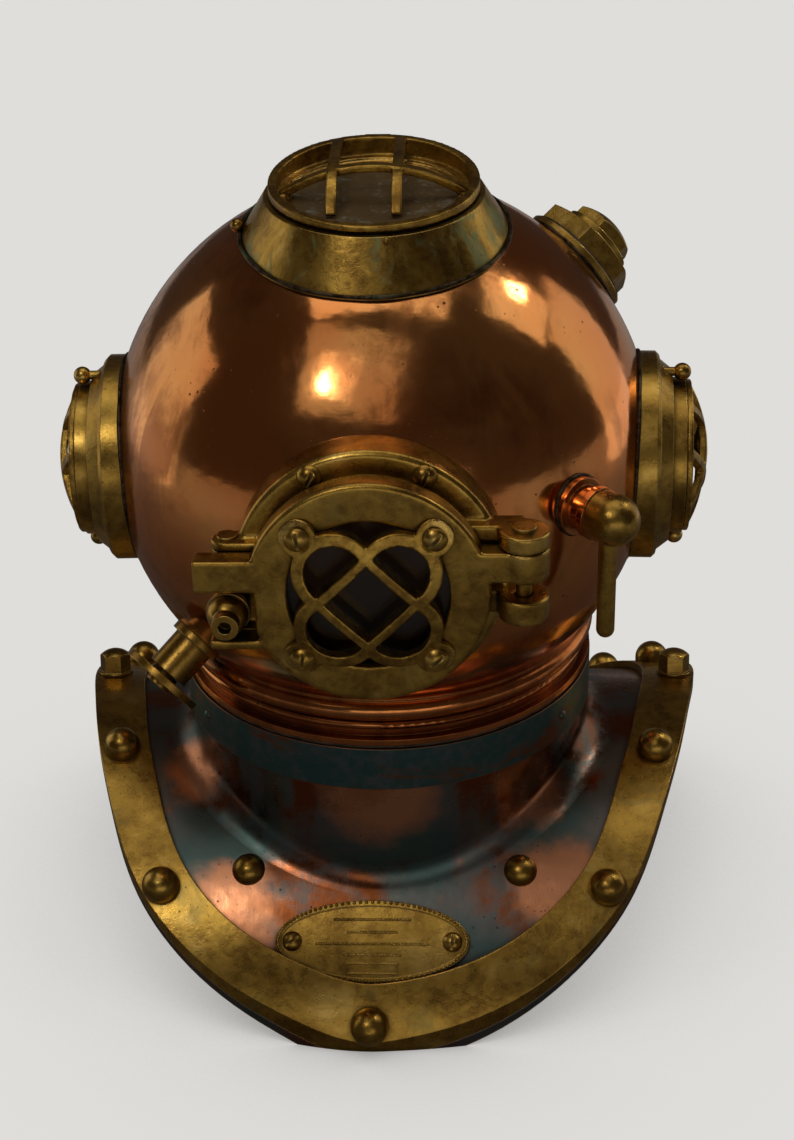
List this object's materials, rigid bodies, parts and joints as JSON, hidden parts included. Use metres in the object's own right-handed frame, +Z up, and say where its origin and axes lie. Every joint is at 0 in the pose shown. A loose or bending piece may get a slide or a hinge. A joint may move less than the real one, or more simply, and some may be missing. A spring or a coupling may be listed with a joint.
{
  "type": "diving helmet",
  "caption": "Copper and brass diving helmet with a breastplate, a barred and hinged front window, side and top windows, a spitcock and an exhaust valve",
  "frame": {"origin": "on the surface the helmet stands on, below the middle of the whole object's box", "axes": "+Z up, -Y the way the front window looks, +X to the right of somebody who looks at the front window"},
  "size_m": [0.38, 0.3734, 0.4612],
  "materials": {
    "bonnet_copper": "polished copper with brown tarnish and small pits",
    "breastplate_copper": "dark brown copper with blue-grey patina",
    "strap_brass": "satin old brass",
    "window_brass": "olive old brass, dark in the corners",
    "guard_brass": "dark brass with bright worn edges",
    "nut_brass": "dark brass with bright tops",
    "plate_brass": "yellow brass, dull, with a dark ground",
    "tinned_collar": "copper band with blue-green patina",
    "leather_seal": "oiled leather",
    "rubber_seal": "matt rubber",
    "window_glass": "thick flat glass, a little dirty"
  },
  "bodies": {
    "breastplate": {"breastplate_shell": "breastplate_copper", "front_strap": "strap_brass", "rear_strap": "strap_brass", "strap_studs": "strap_brass", "strap_dome_nuts": "nut_brass", "shoulder_nuts": "nut_brass", "plate_rivets": "nut_brass", "nameplate": "plate_brass", "nameplate_screws": "nut_brass", "neck_collar_ring": "tinned_collar", "collar_rivets": "tinned_collar", "neck_gasket": "leather_seal"},
    "bonnet": {"bonnet_neck_ring": "bonnet_copper", "bonnet_shell": "bonnet_copper", "front_window_frame": "window_brass", "frame_screws": "nut_brass", "hinge_pin": "window_brass", "swing_bolt_pin": "window_brass", "top_window_collar": "window_brass", "top_collar_pins": "nut_brass", "top_window_gasket": "rubber_seal", "top_window_glass": "window_glass", "top_window_guard": "guard_brass", "exhaust_body": "bonnet_copper", "exhaust_valve_seat": "window_brass", "spitcock_stub": "bonnet_copper", "inlet_fitting": "window_brass", "inlet_washer": "leather_seal", "inlet_cap": "window_brass", "inlet_plug": "window_brass", "left_window_collar": "window_brass", "left_window_gasket": "rubber_seal", "left_window_glass": "window_glass", "left_window_guard": "guard_brass", "left_window_screws": "nut_brass", "right_window_collar": "window_brass", "right_window_gasket": "rubber_seal", "right_window_glass": "window_glass", "right_window_guard": "guard_brass", "right_window_screws": "nut_brass"},
    "door": {"front_door": "window_brass", "door_seal": "rubber_seal", "door_glass_gasket": "rubber_seal", "door_glass": "window_glass", "door_glass_ring": "window_brass", "door_guard": "guard_brass", "guard_screws": "nut_brass"},
    "bolt": {"swing_bolt": "window_brass"},
    "nut": {"clamp_nut": "nut_brass"},
    "cock": {"spitcock_key": "nut_brass", "spitcock_lever": "nut_brass"},
    "wheel": {"exhaust_handwheel": "nut_brass"},
    "valve": {"exhaust_valve_disc": "window_brass"}
  },
  "joints": [
    {"name": "bonnet_turn", "type": "hinge", "parent": "breastplate", "child": "bonnet", "pos_m": [0, 0.00159, 0.165], "axis": [0, 0, 1], "range_deg": [0, 45]},
    {"name": "door_open", "type": "hinge", "parent": "bonnet", "child": "door", "pos_m": [0.076, -0.16641, 0.30353], "axis": [0, 0, 1], "range_deg": [0, 110]},
    {"name": "bolt_swing", "type": "hinge", "parent": "bonnet", "child": "bolt", "pos_m": [-0.07, -0.15541, 0.28353], "axis": [0, 0, -1], "range_deg": [0, 90]},
    {"name": "nut_spin", "type": "hinge", "parent": "bolt", "child": "nut", "pos_m": [-0.07, -0.17341, 0.27653], "axis": [0, -1, 0], "continuous": true},
    {"name": "cock_turn", "type": "hinge", "parent": "bonnet", "child": "cock", "pos_m": [0.11948, -0.12214, 0.30503], "axis": [0.6947, -0.7193, 0], "range_deg": [0, 90]},
    {"name": "wheel_turn", "type": "hinge", "parent": "bonnet", "child": "wheel", "pos_m": [-0.12108, -0.08638, 0.18929], "axis": [-0.6545, -0.4755, -0.5878], "continuous": true},
    {"name": "valve_lift", "type": "slide", "parent": "bonnet", "child": "valve", "axis": [-0.6545, -0.4755, -0.5878], "range_m": [0, 0.004], "stiffness_N_per_m": 60, "springref_m": -0.004}
  ]
}
